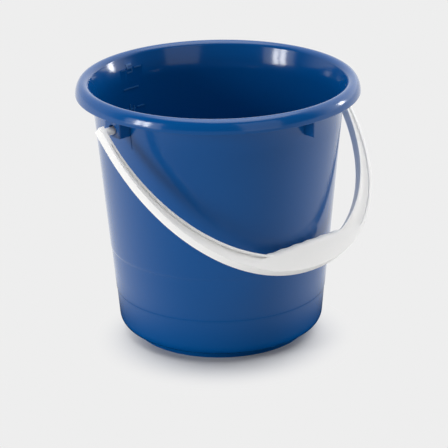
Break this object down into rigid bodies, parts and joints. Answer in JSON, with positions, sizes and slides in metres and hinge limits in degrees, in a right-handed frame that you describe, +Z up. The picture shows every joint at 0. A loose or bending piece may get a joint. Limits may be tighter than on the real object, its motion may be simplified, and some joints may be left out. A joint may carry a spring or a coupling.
{
  "type": "bucket with swinging handle",
  "caption": "Round tapered plastic bucket with a rolled rim, litre marks inside and a one-piece moulded carrying handle that swings on two pins.",
  "frame": {"origin": "on the bucket's axis, at the plane its foot ring stands on", "axes": "+Z up along the bucket's axis, X along the handle's pivot axis, and the handle hangs towards -Y"},
  "size_m": [0.2456, 0.2285, 0.2132],
  "materials": {
    "body_plastic": "gloss moulded polypropylene, dark blue",
    "handle_plastic": "satin moulded polypropylene, off-white"
  },
  "bodies": {
    "bucket": {"bucket_body": "body_plastic"},
    "handle": {"bail_handle": "handle_plastic"}
  },
  "joints": [
    {"name": "handle_swing", "type": "hinge", "parent": "bucket", "child": "handle", "pos_m": [0, 0, 0.194], "axis": [-1, 0, 0], "range_deg": [0, 269]}
  ]
}
